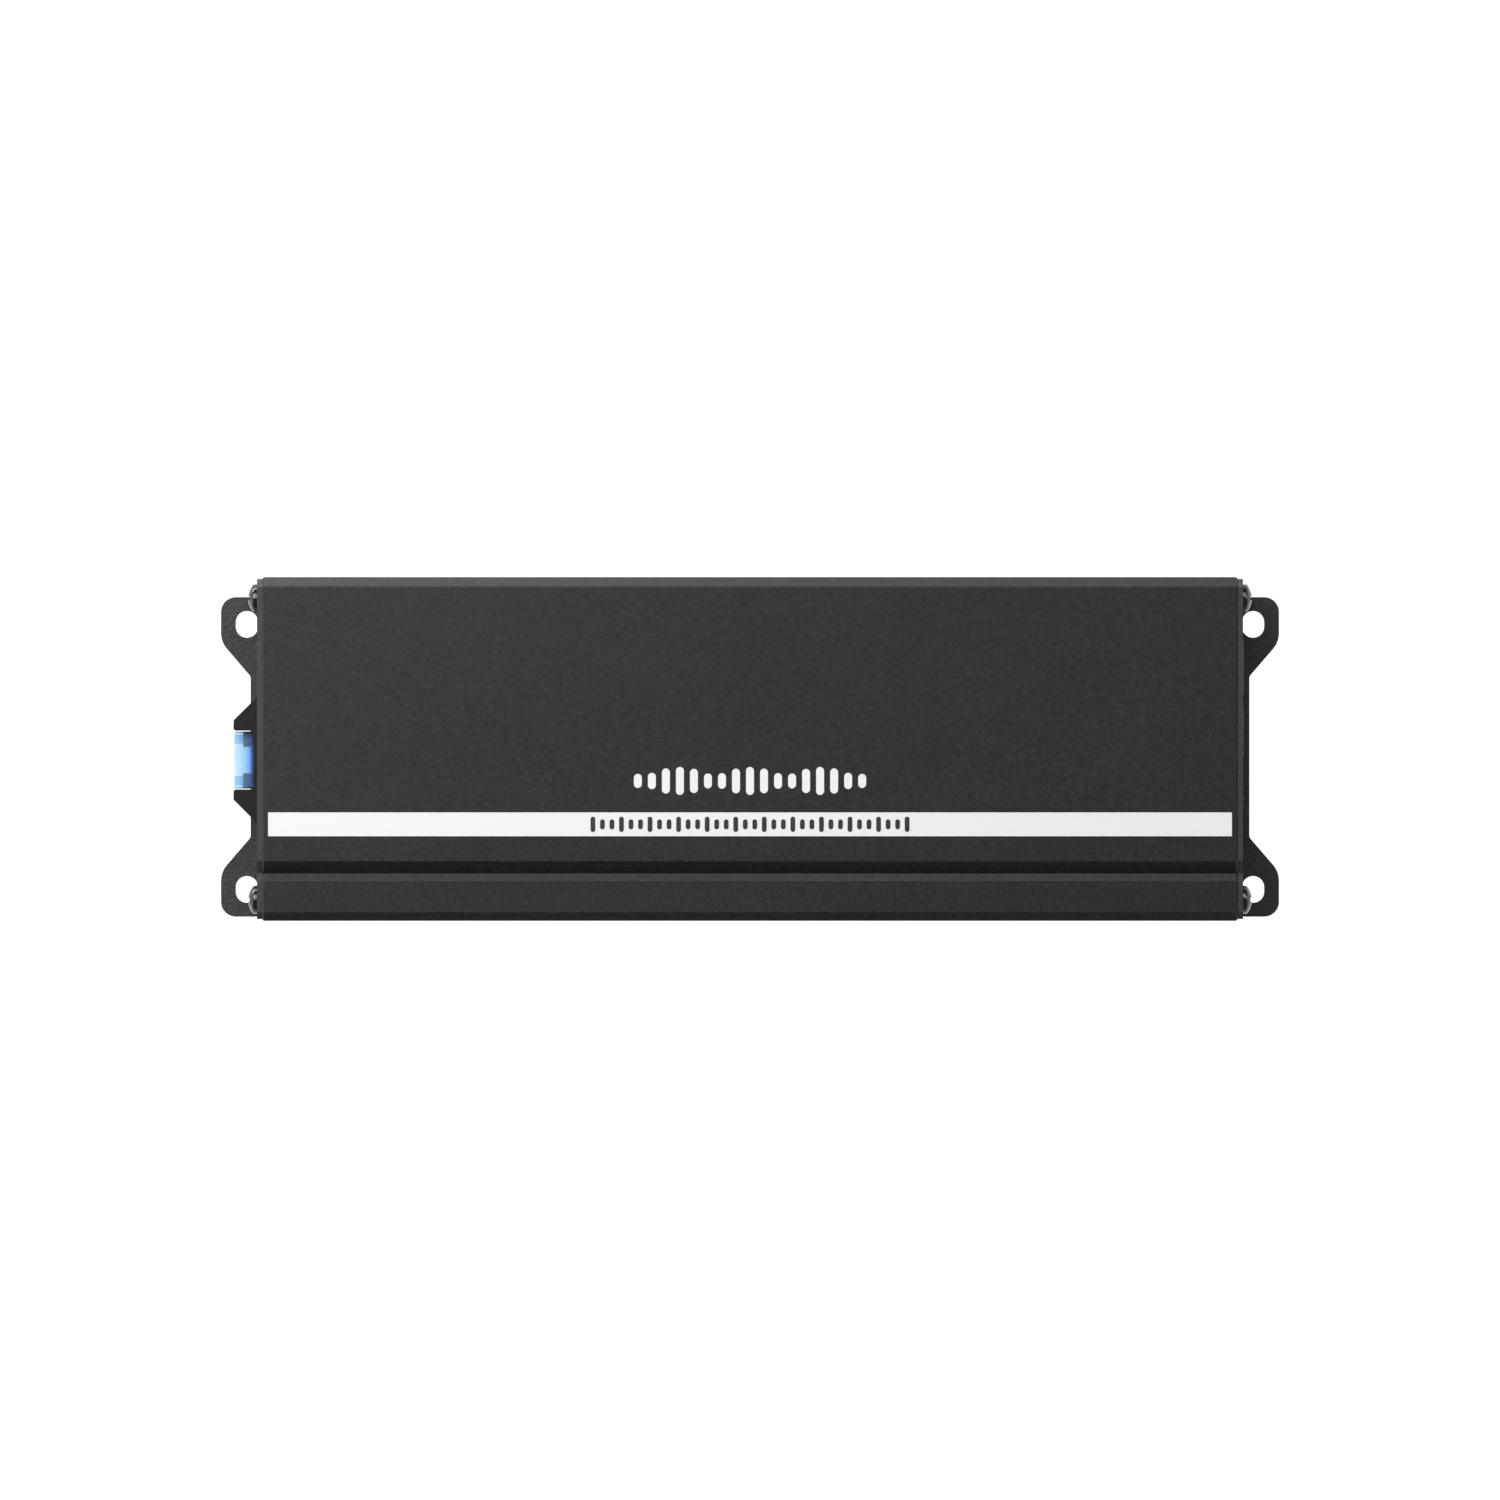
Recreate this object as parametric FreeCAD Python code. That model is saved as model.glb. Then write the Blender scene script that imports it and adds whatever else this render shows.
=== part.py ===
import FreeCAD, Part
import os

# Car amplifier: a slim four-channel power pack. An extruded aluminium heatsink cover sits on a
# flat steel base plate with four slotted ears, and a steel plate closes each end.
# Millimetres. +Z is up, +Y is towards the back, +X is towards the control end.
# The origin is the bottom centre of the amplifier.

V = FreeCAD.Vector
X_AXIS = V(1, 0, 0)
Z_AXIS = V(0, 0, 1)

# ---------------------------------------------------------------- driving dimensions
LENGTH = 200.0            # over the mounting ears
DEPTH = 65.0              # over the heatsink cover
HEIGHT = 38.0             # from the mounting surface to the top of the cover
COVER_LENGTH = 184.4
BASE_THICKNESS = 1.2
END_THICKNESS = 1.0
SLOT_SPACING_X = 190.2    # between the centres of the mounting slots
SLOT_SPACING_Y = 50.1
FLANGE_OFFSET = -1.5      # the ears sit this far towards the front of the cover

# cover section
WALL = 2.2
TOP_THICKNESS = 3.0
BACK_BEVEL = 1.8
FRONT_BEVEL = 1.5
FRONT_BEVEL_DROP = 1.1
EDGE_RADIUS = 0.4          # on the long edges of the cover
END_CHAMFER = 0.3          # where the cover is cut to length
GROOVE_BACK = -21.3       # where the flat top ends and the long groove starts
GROOVE_SLOPE = 2.2
GROOVE_FLOOR = 0.1
GROOVE_DEPTH = 1.75
LEDGE_BACK = -24.9        # where the front ledge starts
LEDGE_DROP = 1.2
LAND_FACE = 26.0          # inner face of the thick rails and of the heat land on the back wall

# mounting ears
EAR_BACK = 28.7
EAR_FRONT = -31.7
EAR_LENGTH = 8.5
EAR_SLOPE_LENGTH = 6.5
STRIP_EDGE = 94.4         # edge of the base plate between the ears
EAR_RADIUS = 2.8
SLOPE_RADIUS = 4.5        # where an ear turns into its slope
STRIP_RADIUS = 1.0        # inner corners between the ears
SLOT_RADIUS = 2.1
SLOT_LENGTH = 5.05
NOTCH_HALF = 3.4          # room in the end plates for the heads of the mounting bolts
NOTCH_TOP = 5.4

# circuit boards
BOARD_BOTTOM = 6.4
BOARD_THICKNESS = 1.6
BOARD_TOP = BOARD_BOTTOM + BOARD_THICKNESS
BOARD_HALF_DEPTH = 29.9
BOARD_HALF_LENGTH = 91.8

# screws, M3
PAN_RADIUS = 2.65
PAN_HEIGHT = 1.7
PAN_RIM = 0.7             # height at which the dome of the head starts
PAN_SHOULDER = 0.5        # rounding between the rim and the dome
SHANK_RADIUS = 1.45
THREAD_RADIUS = 1.5
CLEARANCE_RADIUS = 1.7
RECESS_HALF_WIDTH = 0.35
UPPER_SCREW = (28.5, 32.4)    # distance from the middle and height of the end plate screws
LOWER_SCREW = (28.5, 11.2)
BASE_SCREW_Y = 28.9
BASE_SCREW_X = (-80.0, 0.0, 80.0)
PRESS_RADIUS = 2.0        # foot of a pillar, pressed into the base plate
PRESS_DEPTH = 0.2         # metal left under the foot
PILLAR_RADIUS = 2.7
STANDOFFS = [(-73.5, -20.0), (-73.5, 10.0), (72.8, -20.0), (72.8, 10.0)]

# fuse, held across the front of its holder with its blades along X
FUSE_Y = -2.1
FUSE_Z = 12.5
FUSE_OUTER = -97.5
FUSE_WIDTH = 10.8
FUSE_THICKNESS = 3.6
FUSE_BODY_LENGTH = 8.9
FUSE_TOTAL_LENGTH = 16.3
FUSE_CAP_LENGTH = 3.4
BLADE_START = 1.7         # depth of the metal below the outer face of the fuse
BLADE_OFFSET = 3.9
BLADE_WIDTH = 2.8
BLADE_THICKNESS = 0.8
HOLDER_TOP = 17.0
HOLDER_HALF = 7.5
GUARD_TIP = -97.65
HOLDER_MOUTH = -93.8      # lip of the holder around the fuse
FUSE_GAP = 5.55           # half of the opening between the two guards
MOULDING_GAP = 0.2        # around mouldings where they pass through an end plate

# plug connectors: two rows of square pins in a shroud
PIN_PITCH = 4.2
PIN_SIZE = 1.0
SHROUD_HEIGHT = 9.8
SHROUD_WALL = 1.1
SHROUD_FACE = 93.0
SHROUD_BACK = 80.0
SHROUD_FLOOR = 84.0
POWER_PLUG = (3, 18.4)        # pin columns and middle along Y
SPEAKER_PLUG = (4, -11.5)
INPUT_PLUG = (4, 11.5)

# controls on the upright control board
CONTROL_Z = 25.5
CONTROL_BOARD_X = 80.0
CONTROL_FACE = CONTROL_BOARD_X + BOARD_THICKNESS
GAIN_FRONT_Y = 15.5
GAIN_REAR_Y = 3.5
FILTER_Y = -8.5
LED_Y = -18.5
LED_RADIUS = 1.5
LED_TIP = 93.1
LED_COLLAR_BACK = 88.6
LED_HOLE_RADIUS = 1.7
GAIN_RADIUS = 3.0
GAIN_HOLE_RADIUS = 3.4
GAIN_FACE = 92.6
SWITCH_SLOT_HALF_WIDTH = 2.7
SWITCH_SLOT_HALF_HEIGHT = 1.5
FILTER_TRAVEL = 2.0

# power devices clamped to the heat land
PAD_THICKNESS = 0.3
DEVICE_THICKNESS = 4.5
DEVICE_BACK = LAND_FACE - PAD_THICKNESS
DEVICE_FRONT = DEVICE_BACK - DEVICE_THICKNESS
CLAMP_THICKNESS = 1.6
CLAMP_Z = 22.0
TRANSISTOR_X = [-71.0 + 14.0 * step for step in range(6)]
CHIP_X = (24.0, 58.0)
CLAMP_SCREW_X = (-64.0, -36.0, -8.0, 41.0, 75.0)

COVER_END = COVER_LENGTH / 2
PLATE_FACE = COVER_END + END_THICKNESS
HALF_DEPTH = DEPTH / 2
GUARD_REACH = HOLDER_HALF - GUARD_TIP - PLATE_FACE    # half width of the guards at the plate


# ---------------------------------------------------------------- building blocks
def box(x_range, y_range, z_range):
    """A block between two limits along each axis, given in either order."""
    low = V(min(x_range), min(y_range), min(z_range))
    high = V(max(x_range), max(y_range), max(z_range))
    size = high - low
    return Part.makeBox(size.x, size.y, size.z, low)


def rod(radius, start, end):
    """A round bar from one point to another."""
    run = V(*end) - V(*start)
    return Part.makeCylinder(radius, run.Length, V(*start), run)


def plan_prism(points, z_low, z_high):
    """An outline in plan, raised from one height to another."""
    corners = [V(x, y, z_low) for x, y in points]
    face = Part.Face(Part.makePolygon(corners + corners[:1]))
    return face.extrude(V(0, 0, z_high - z_low))


def end_prism(points, x_low, x_high):
    """An outline seen from the end of the amplifier, drawn out along X."""
    corners = [V(x_low, y, z) for y, z in points]
    face = Part.Face(Part.makePolygon(corners + corners[:1]))
    return face.extrude(V(x_high - x_low, 0, 0))


def edges_along(shape, direction, keep):
    """Straight edges along a direction whose middle point passes a test."""
    found = []
    for edge in shape.Edges:
        run = edge.Vertexes[-1].Point - edge.Vertexes[0].Point
        straight = isinstance(edge.Curve, (Part.Line, Part.LineSegment))
        if straight and run.cross(direction).Length < 1e-4 and keep(edge.CenterOfMass):
            found.append(edge)
    return found


def joined(shapes):
    """One solid from shapes that touch or overlap."""
    whole = shapes[0].fuse(shapes[1:]) if len(shapes) > 1 else shapes[0]
    return whole.removeSplitter()


def grouped(shapes):
    """Separate solids kept together as one part."""
    return Part.makeCompound(shapes)


def cross_recess(x, y, reach, z_range):
    """The cross that a screwdriver fits, centred on a point."""
    half = RECESS_HALF_WIDTH
    return joined([box((x - reach, x + reach), (y - half, y + half), z_range),
                   box((x - half, x + half), (y - reach, y + reach), z_range)])


def pan_screw(seat, direction, length):
    """A cross-recessed pan head screw; seat is the point under its head, direction leads in."""
    way = V(*direction)
    rise = PAN_HEIGHT - PAN_RIM
    dome_radius = (PAN_RADIUS ** 2 + rise ** 2) / (2 * rise)
    head = Part.makeCylinder(PAN_RADIUS, PAN_HEIGHT, V(0, 0, 0), -Z_AXIS)
    head = head.common(Part.makeSphere(dome_radius, V(0, 0, dome_radius - PAN_HEIGHT)))
    shoulder = [edge for edge in head.Edges if not edge.Degenerated
                and max(abs(edge.BoundBox.ZMin + PAN_RIM), abs(edge.BoundBox.ZMax + PAN_RIM)) < 1e-6]
    head = head.makeFillet(PAN_SHOULDER, shoulder)
    head = head.cut(cross_recess(0, 0, 1.5, (-PAN_HEIGHT - 1, -0.6)))
    shank = Part.makeCylinder(SHANK_RADIUS, length)
    screw = joined([head, shank])
    turn = FreeCAD.Rotation(Z_AXIS, way)
    screw.Placement = FreeCAD.Placement(V(*seat), turn)
    return screw


# ---------------------------------------------------------------- housing
def on_outer_rim(edge):
    """True for an edge of the cover's cut ends that runs along its top, bevels or side walls."""
    middle = edge.CenterOfMass
    at_end = abs(abs(middle.x) - COVER_END) < 1e-6
    outside = middle.z > HEIGHT - TOP_THICKNESS + 0.1 or abs(middle.y) > HALF_DEPTH - 0.01
    return at_end and outside


def heatsink_cover():
    """Extruded cover: flat top, long groove and lower front ledge, bevelled back, thick rails."""
    ledge_z = HEIGHT - LEDGE_DROP
    groove_z = HEIGHT - GROOVE_DEPTH
    groove_floor = GROOVE_BACK - GROOVE_SLOPE
    inner = HALF_DEPTH - WALL
    top_inner = HEIGHT - TOP_THICKNESS
    rail_top = BOARD_TOP + 0.2
    boss_top = 14.2
    boss_low = 29.6
    rib_z = 33.0
    rib_back = -19.5
    outline = [
        (HALF_DEPTH, BASE_THICKNESS),
        (HALF_DEPTH, HEIGHT - BACK_BEVEL),
        (HALF_DEPTH - BACK_BEVEL, HEIGHT),
        (GROOVE_BACK, HEIGHT),
        (groove_floor, groove_z),
        (groove_floor - GROOVE_FLOOR, groove_z),
        (LEDGE_BACK, ledge_z),
        (FRONT_BEVEL - HALF_DEPTH, ledge_z),
        (-HALF_DEPTH, ledge_z - FRONT_BEVEL_DROP),
        (-HALF_DEPTH, BASE_THICKNESS),
        (-LAND_FACE, BASE_THICKNESS),
        (-LAND_FACE, BOARD_BOTTOM),
        (-inner, BOARD_BOTTOM),
        (-inner, rail_top),
        (-LAND_FACE, rail_top),
        (-LAND_FACE, boss_top),
        (-inner, boss_top),
        (-inner, boss_low),
        (-LAND_FACE, boss_low),
        (-LAND_FACE, rib_z),
        (rib_back, rib_z),
        (rib_back, top_inner),
        (LAND_FACE, top_inner),
        (LAND_FACE, rail_top),
        (inner, rail_top),
        (inner, BOARD_BOTTOM),
        (LAND_FACE, BOARD_BOTTOM),
        (LAND_FACE, BASE_THICKNESS),
    ]
    cover = end_prism(outline, -COVER_END, COVER_END)

    def near(y, z):
        return lambda p: abs(p.y - y) < 0.01 and abs(p.z - z) < 0.01

    softened = [(FRONT_BEVEL - HALF_DEPTH, ledge_z), (-HALF_DEPTH, ledge_z - FRONT_BEVEL_DROP),
                (LEDGE_BACK, ledge_z), (GROOVE_BACK, HEIGHT),
                (HALF_DEPTH - BACK_BEVEL, HEIGHT), (HALF_DEPTH, HEIGHT - BACK_BEVEL)]
    for corner in softened:
        cover = cover.makeFillet(EDGE_RADIUS, edges_along(cover, X_AXIS, near(*corner)))
    cover = cover.makeChamfer(END_CHAMFER, [edge for edge in cover.Edges if on_outer_rim(edge)])

    for side in (-1, 1):
        for across, height in (UPPER_SCREW, LOWER_SCREW):
            channel = rod(THREAD_RADIUS, (-COVER_END - 1, side * across, height),
                          (COVER_END + 1, side * across, height))
            cover = cover.cut(channel)
        for x in BASE_SCREW_X:
            cover = cover.cut(rod(THREAD_RADIUS, (x, side * BASE_SCREW_Y, 0),
                                  (x, side * BASE_SCREW_Y, BOARD_BOTTOM - 0.4)))
    for x in CLAMP_SCREW_X:
        cover = cover.cut(rod(THREAD_RADIUS, (x, LAND_FACE - 1, CLAMP_Z),
                              (x, HALF_DEPTH - 1.2, CLAMP_Z)))
    return cover


def mounting_slot(x, y):
    """A round-ended slot through the base plate, long along Y."""
    half = SLOT_LENGTH / 2 - SLOT_RADIUS
    ends = [rod(SLOT_RADIUS, (x, y + shift, -1), (x, y + shift, BASE_THICKNESS + 1))
            for shift in (-half, half)]
    middle = box((x - SLOT_RADIUS, x + SLOT_RADIUS), (y - half, y + half),
                 (-1, BASE_THICKNESS + 1))
    return joined([middle] + ends)


def base_plate():
    """Flat steel base with four slotted ears, screwed to the rails of the cover."""
    half = LENGTH / 2
    body_end = COVER_END - 0.2
    body_back = HALF_DEPTH - 0.8
    right = [
        (body_end, body_back),
        (body_end, EAR_BACK),
        (half, EAR_BACK),
        (half, EAR_BACK - EAR_LENGTH),
        (STRIP_EDGE, EAR_BACK - EAR_LENGTH - EAR_SLOPE_LENGTH),
        (STRIP_EDGE, EAR_FRONT + EAR_LENGTH + EAR_SLOPE_LENGTH),
        (half, EAR_FRONT + EAR_LENGTH),
        (half, EAR_FRONT),
    ]
    left = [(-x, y) for x, y in reversed(right)]
    plate = plan_prism(right + left, 0, BASE_THICKNESS)
    tips = (EAR_BACK, EAR_FRONT)
    plate = plate.makeFillet(EAR_RADIUS, edges_along(
        plate, Z_AXIS, lambda p: abs(p.x) > half - 0.01 and min(abs(p.y - tip) for tip in tips) < 0.01))
    plate = plate.makeFillet(SLOPE_RADIUS, edges_along(
        plate, Z_AXIS, lambda p: abs(p.x) > half - 0.01))
    plate = plate.makeFillet(STRIP_RADIUS, edges_along(
        plate, Z_AXIS, lambda p: abs(abs(p.x) - STRIP_EDGE) < 0.01))

    for x in (-SLOT_SPACING_X / 2, SLOT_SPACING_X / 2):
        for y in (-SLOT_SPACING_Y / 2, SLOT_SPACING_Y / 2):
            plate = plate.cut(mounting_slot(x, FLANGE_OFFSET + y))
    for x in BASE_SCREW_X:
        for side in (-1, 1):
            plate = plate.cut(countersunk_cone(x, side * BASE_SCREW_Y, 0.05))
    for x, y in STANDOFFS:
        plate = plate.cut(rod(PRESS_RADIUS, (x, y, PRESS_DEPTH), (x, y, BASE_THICKNESS + 1)))
    return plate


def countersunk_cone(x, y, clearance):
    """The cone of a countersunk head, flush with the underside of the base plate."""
    return Part.makeCone(2.5 + clearance, THREAD_RADIUS + clearance, BASE_THICKNESS, V(x, y, 0))


def base_plate_screws():
    """Six countersunk screws from below into the rails of the cover."""
    screws = []
    for x in BASE_SCREW_X:
        for side in (-1, 1):
            y = side * BASE_SCREW_Y
            recess = cross_recess(x, y, 1.3, (-1, 0.7))
            shank = rod(SHANK_RADIUS, (x, y, BASE_THICKNESS), (x, y, BOARD_BOTTOM - 0.8))
            screws.append(joined([countersunk_cone(x, y, 0).cut(recess), shank]))
    return grouped(screws)


def end_plate_blank(side):
    """Steel end plate that follows the section of the cover, with its screw and bolt clearances."""
    inset = 0.35
    outer = HALF_DEPTH - inset
    top = HEIGHT - inset
    ledge_z = HEIGHT - LEDGE_DROP - inset
    outline = [
        (outer, BASE_THICKNESS),
        (outer, HEIGHT - BACK_BEVEL - 0.15),
        (HALF_DEPTH - BACK_BEVEL - 0.15, top),
        (GROOVE_BACK + 0.2, top),
        (GROOVE_BACK - GROOVE_SLOPE + 0.1, HEIGHT - GROOVE_DEPTH - 0.3),
        (GROOVE_BACK - GROOVE_SLOPE - 0.5, HEIGHT - GROOVE_DEPTH - 0.3),
        (LEDGE_BACK - 0.2, ledge_z),
        (FRONT_BEVEL + 0.15 - HALF_DEPTH, ledge_z),
        (-outer, HEIGHT - LEDGE_DROP - FRONT_BEVEL_DROP - 0.15),
        (-outer, BASE_THICKNESS),
    ]
    plate = end_prism(outline, side * COVER_END, side * PLATE_FACE)
    past = (side * (COVER_END - 1), side * (PLATE_FACE + 1))
    for across, height in (UPPER_SCREW, LOWER_SCREW):
        for y in (-across, across):
            plate = plate.cut(rod(CLEARANCE_RADIUS, (past[0], y, height), (past[1], y, height)))
    for y in (-SLOT_SPACING_Y / 2, SLOT_SPACING_Y / 2):
        middle = FLANGE_OFFSET + y
        plate = plate.cut(box(past, (middle - NOTCH_HALF, middle + NOTCH_HALF), (0, NOTCH_TOP)))
    return plate


def left_end_plate():
    """Power end: openings for the fuse holder and the power connector."""
    plate = end_plate_blank(-1)
    past = (-COVER_END + 1, -PLATE_FACE - 1)
    reach = GUARD_REACH + MOULDING_GAP
    plate = plate.cut(box(past, (FUSE_Y - reach, FUSE_Y + reach),
                          (BOARD_TOP - MOULDING_GAP, HOLDER_TOP + MOULDING_GAP)))
    return plate.cut(shroud_opening(POWER_PLUG, past))


def right_end_plate():
    """Control end: two plug openings, two gain holes, the filter switch slot and the lamp hole."""
    plate = end_plate_blank(1)
    past = (COVER_END - 1, PLATE_FACE + 1)
    for plug in (SPEAKER_PLUG, INPUT_PLUG):
        plate = plate.cut(shroud_opening(plug, past))
    for y in (GAIN_FRONT_Y, GAIN_REAR_Y):
        plate = plate.cut(rod(GAIN_HOLE_RADIUS, (past[0], y, CONTROL_Z), (past[1], y, CONTROL_Z)))
    plate = plate.cut(switch_slot(past))
    return plate.cut(rod(LED_HOLE_RADIUS, (past[0], LED_Y, CONTROL_Z), (past[1], LED_Y, CONTROL_Z)))


def end_plate_screws():
    """Eight pan head screws, four into the screw channels at each end of the cover."""
    screws = []
    for side in (-1, 1):
        for across, height in (UPPER_SCREW, LOWER_SCREW):
            for y in (-across, across):
                screws.append(pan_screw((side * PLATE_FACE, y, height), (-side, 0, 0), 9.0))
    return grouped(screws)


# ---------------------------------------------------------------- boards and their fixings
def board_standoffs():
    """Four pressed-in pillars that carry the main board."""
    pillars = []
    for x, y in STANDOFFS:
        pillar = joined([rod(PRESS_RADIUS, (x, y, PRESS_DEPTH), (x, y, BASE_THICKNESS)),
                         rod(PILLAR_RADIUS, (x, y, BASE_THICKNESS), (x, y, BOARD_BOTTOM))])
        pillars.append(pillar.cut(rod(THREAD_RADIUS, (x, y, 1.6), (x, y, BOARD_TOP))))
    return grouped(pillars)


def board_screws():
    """Four pan head screws that hold the main board to its pillars."""
    return grouped([pan_screw((x, y, BOARD_TOP), (0, 0, -1), 5.6) for x, y in STANDOFFS])


def insulating_film():
    """Thin plastic sheet between the base plate and the soldered side of the board."""
    film = box((-90.0, 90.0), (-25.6, 25.6), (BASE_THICKNESS, BASE_THICKNESS + 0.3))
    for x, y in STANDOFFS:
        film = film.cut(rod(3.2, (x, y, 0), (x, y, BOARD_BOTTOM)))
    return film


def main_circuit_board():
    """Main board, held between the rails of the cover and screwed to four pillars."""
    board = box((-BOARD_HALF_LENGTH, BOARD_HALF_LENGTH), (-BOARD_HALF_DEPTH, BOARD_HALF_DEPTH),
                (BOARD_BOTTOM, BOARD_TOP))
    for x, y in STANDOFFS:
        board = board.cut(rod(CLEARANCE_RADIUS, (x, y, 0), (x, y, BOARD_TOP + 1)))
    return board


def control_board():
    """Upright board behind the control end, standing on two legs beside the plugs."""
    x_range = (CONTROL_BOARD_X, CONTROL_FACE)
    half_width = 25.3
    leg_width = 3.8
    panel_foot = 18.4
    panel = box(x_range, (-half_width, half_width), (panel_foot, 32.6))
    legs = [box(x_range, (side * (half_width - leg_width), side * half_width), (BOARD_TOP, panel_foot))
            for side in (-1, 1)]
    return joined([panel] + legs)


# ---------------------------------------------------------------- fuse and holder
def fuse_holder():
    """Moulded holder with two guards that stand out past the end plate beside the fuse."""
    z_range = (BOARD_TOP, HOLDER_TOP)
    back = -77.0
    block = box((HOLDER_MOUTH, back), (FUSE_Y - HOLDER_HALF, FUSE_Y + HOLDER_HALF), z_range)
    root = 1.2 - PLATE_FACE
    parts = [block]
    for side in (-1, 1):
        guard = [(root, FUSE_Y + side * FUSE_GAP), (GUARD_TIP, FUSE_Y + side * FUSE_GAP),
                 (GUARD_TIP, FUSE_Y + side * HOLDER_HALF), (-PLATE_FACE, FUSE_Y + side * GUARD_REACH),
                 (root, FUSE_Y + side * GUARD_REACH)]
        parts.append(plan_prism(guard, *z_range))
    holder = joined(parts)
    holder = holder.makeFillet(0.5, edges_along(
        holder, Z_AXIS, lambda p: abs(p.x - GUARD_TIP) < 0.01))
    pocket_floor = FUSE_OUTER + FUSE_BODY_LENGTH + 0.4
    pocket_half_height = FUSE_THICKNESS / 2 + 0.3
    chamber_half_width = 1.75
    chamber_half_height = 1.2
    holder = holder.cut(box((GUARD_TIP - 1, pocket_floor), (FUSE_Y - FUSE_GAP, FUSE_Y + FUSE_GAP),
                            (FUSE_Z - pocket_half_height, FUSE_Z + pocket_half_height)))
    for side in (-1, 1):
        y = FUSE_Y + side * BLADE_OFFSET
        y_range = (y - chamber_half_width, y + chamber_half_width)
        holder = holder.cut(box((pocket_floor - 1, back + 1), y_range,
                                (FUSE_Z - chamber_half_height, FUSE_Z + chamber_half_height)))
        holder = holder.cut(box((back - 2.5, back + 1), y_range,
                                (BOARD_TOP - 1, FUSE_Z + chamber_half_height)))
    return holder


def fuse_contacts():
    """Two sprung contacts inside the holder, each a fork with a tail down to the board."""
    contacts = []
    for side in (-1, 1):
        y = FUSE_Y + side * BLADE_OFFSET
        leaves = [box((-87.4, -78.0), (y - 1.4, y + 1.4), (FUSE_Z + sign * 0.6, FUSE_Z + sign * 1.0))
                  for sign in (-1, 1)]
        tail = box((-78.4, -77.9), (y - 1.0, y + 1.0), (BOARD_TOP, FUSE_Z + 1.0))
        contacts.append(joined(leaves + [tail]))
    return grouped(contacts)


def fuse_blades():
    """Flat metal of the blade fuse: two blades and the thin link between them."""
    half_width = BLADE_WIDTH / 2
    half_thickness = BLADE_THICKNESS / 2
    start = FUSE_OUTER + BLADE_START
    tip = FUSE_OUTER + FUSE_TOTAL_LENGTH
    parts = []
    for side in (-1, 1):
        y = FUSE_Y + side * BLADE_OFFSET
        outline = [(start, y - half_width), (start, y + half_width), (tip - 1.0, y + half_width),
                   (tip, y + 0.6), (tip, y - 0.6), (tip - 1.0, y - half_width)]
        parts.append(plan_prism(outline, FUSE_Z - half_thickness, FUSE_Z + half_thickness))
    link_x = FUSE_OUTER + 4.4
    parts.append(box((link_x, link_x + 1.1), (FUSE_Y - BLADE_OFFSET, FUSE_Y + BLADE_OFFSET),
                     (FUSE_Z - 0.3, FUSE_Z + 0.3)))
    return joined(parts)


def fuse_body():
    """Clear moulded body of the blade fuse, a wide cap with a narrower waist behind it."""
    half_width = FUSE_WIDTH / 2
    half_thickness = FUSE_THICKNESS / 2
    cap_end = FUSE_OUTER + FUSE_CAP_LENGTH
    cap = box((FUSE_OUTER, cap_end), (FUSE_Y - half_width, FUSE_Y + half_width),
              (FUSE_Z - half_thickness, FUSE_Z + half_thickness))
    waist = box((cap_end, FUSE_OUTER + FUSE_BODY_LENGTH),
                (FUSE_Y - half_width + 0.3, FUSE_Y + half_width - 0.3),
                (FUSE_Z - half_thickness + 0.3, FUSE_Z + half_thickness - 0.3))
    cap = cap.makeFillet(0.45, edges_along(cap, X_AXIS, lambda p: True))
    body = joined([cap, waist])
    for side in (-1, 1):
        y = FUSE_Y + side * BLADE_OFFSET
        body = body.cut(box((FUSE_OUTER - 1, FUSE_OUTER + BLADE_START), (y - 0.9, y + 0.9),
                            (FUSE_Z - 0.5, FUSE_Z + 0.5)))
    return body.cut(fuse_blades())


# ---------------------------------------------------------------- plug connectors
def shroud_half_width(columns):
    """Half the outer width of a shroud for a number of pin columns."""
    return (columns * PIN_PITCH + 1.2) / 2


def shroud_opening(plug, x_range):
    """The opening in an end plate that one plug connector looks through."""
    columns, middle = plug
    half = shroud_half_width(columns) + MOULDING_GAP
    return box(x_range, (middle - half, middle + half),
               (BOARD_TOP - MOULDING_GAP, BOARD_TOP + SHROUD_HEIGHT + MOULDING_GAP))


def shroud(plug, side):
    """Moulded shroud of a plug connector, with a latch window in its upper wall."""
    columns, middle = plug
    half = shroud_half_width(columns)
    top = BOARD_TOP + SHROUD_HEIGHT
    body = box((side * SHROUD_BACK, side * SHROUD_FACE), (middle - half, middle + half),
               (BOARD_TOP, top))
    cavity = box((side * SHROUD_FLOOR, side * (SHROUD_FACE + 1)),
                 (middle - half + SHROUD_WALL, middle + half - SHROUD_WALL),
                 (BOARD_TOP + SHROUD_WALL, top - SHROUD_WALL))
    keyway = box((side * (SHROUD_FACE - 4.5), side * (SHROUD_FACE + 1)),
                 (middle - 1.5, middle + 1.5), (top - SHROUD_WALL - 0.1, top - 0.4))
    body = body.cut(cavity).cut(keyway)
    for pin in plug_pins(plug, side):
        body = body.cut(pin)
    return body


def plug_pins(plug, side):
    """Bent square pins: a straight run out through the shroud and a leg down to the board."""
    columns, middle = plug
    half = PIN_SIZE / 2
    pins = []
    for row in (0, 1):
        z = BOARD_TOP + SHROUD_HEIGHT / 2 + (row - 0.5) * PIN_PITCH
        bend = SHROUD_BACK - 1.0 - 2.0 * row
        for column in range(columns):
            y = middle + (column - (columns - 1) / 2) * PIN_PITCH
            run = box((side * (bend - PIN_SIZE), side * (SHROUD_FACE - 4.5)),
                      (y - half, y + half), (z - half, z + half))
            leg = box((side * (bend - PIN_SIZE), side * bend), (y - half, y + half),
                      (BOARD_TOP, z + half))
            pins.append(joined([run, leg]))
    return pins


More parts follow.
